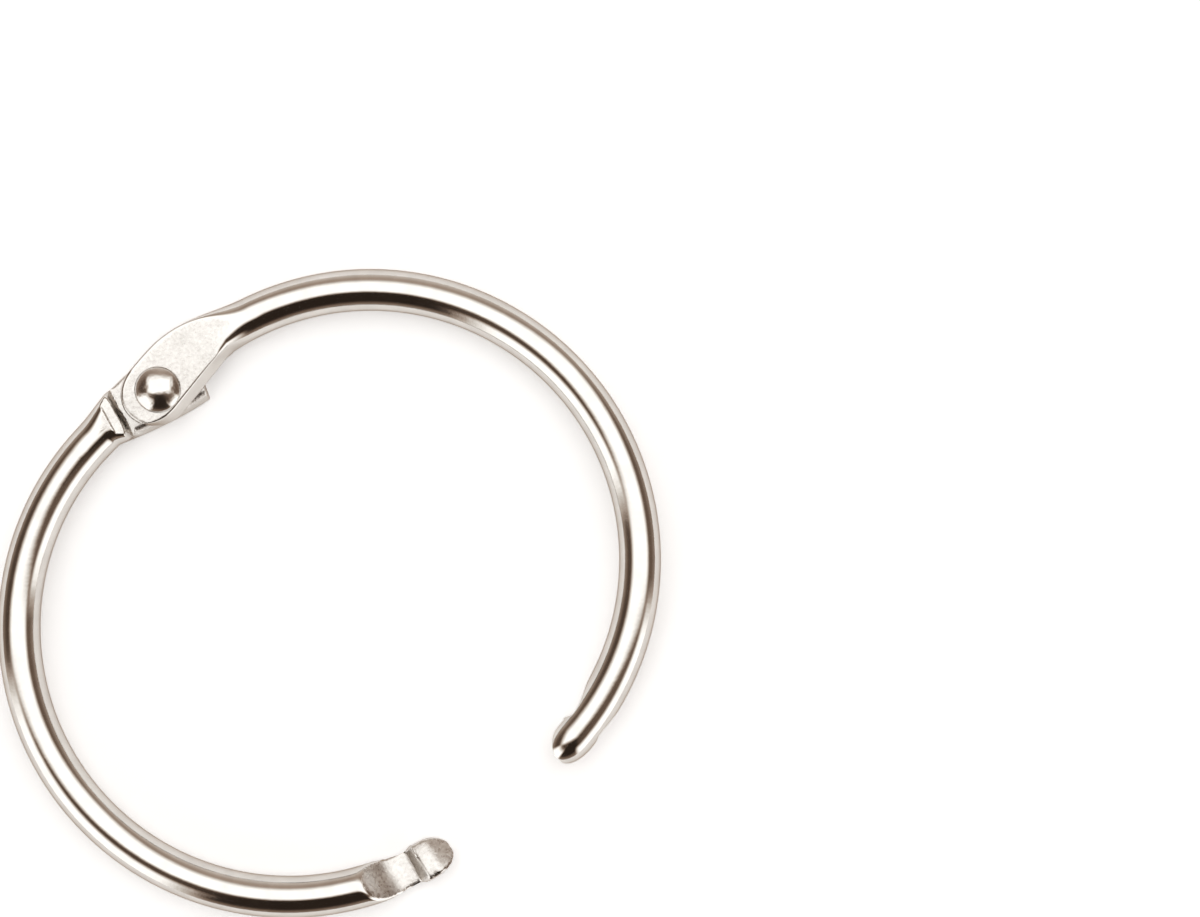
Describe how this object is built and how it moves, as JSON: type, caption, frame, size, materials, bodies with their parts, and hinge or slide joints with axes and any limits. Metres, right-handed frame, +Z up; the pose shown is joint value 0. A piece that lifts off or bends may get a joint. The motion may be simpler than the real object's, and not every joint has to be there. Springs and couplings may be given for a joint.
{
  "type": "binder ring",
  "caption": "Hinged loose-leaf binder ring of nickel-plated round wire, lying open, with a riveted lap hinge and hooked snap tips.",
  "frame": {"origin": "middle of the ring as it lies open, on the surface it lies on", "axes": "+Z up along the rivet towards its domed head, +Y from the mouth towards the hinge, +X towards the upper half"},
  "size_m": [0.0526, 0.0452, 0.0041],
  "materials": {
    "upper_wire": "bright nickel plate, satin on the pressed flat",
    "lower_wire": "bright nickel plate, satin on the pressed tongue",
    "rivet": "bright nickel plate"
  },
  "bodies": {
    "lower_half": {"lower_half_ring": "lower_wire"},
    "rivet": {"hinge_rivet": "rivet"},
    "upper_half": {"upper_half_ring": "upper_wire"}
  },
  "joints": [
    {"name": "tip_lift", "type": "hinge", "parent": "lower_half", "child": "rivet", "pos_m": [0, 0.01966, 0.0016], "axis": [-0.9804, 0.1968, 0], "range_deg": [0, 1.8], "stiffness_Nm_per_rad": 0.2},
    {"name": "ring_hinge", "type": "hinge", "parent": "rivet", "child": "upper_half", "pos_m": [0, 0.01966, 0.0016], "axis": [0, 0, 1], "range_deg": [-22.7, 77.3]}
  ]
}
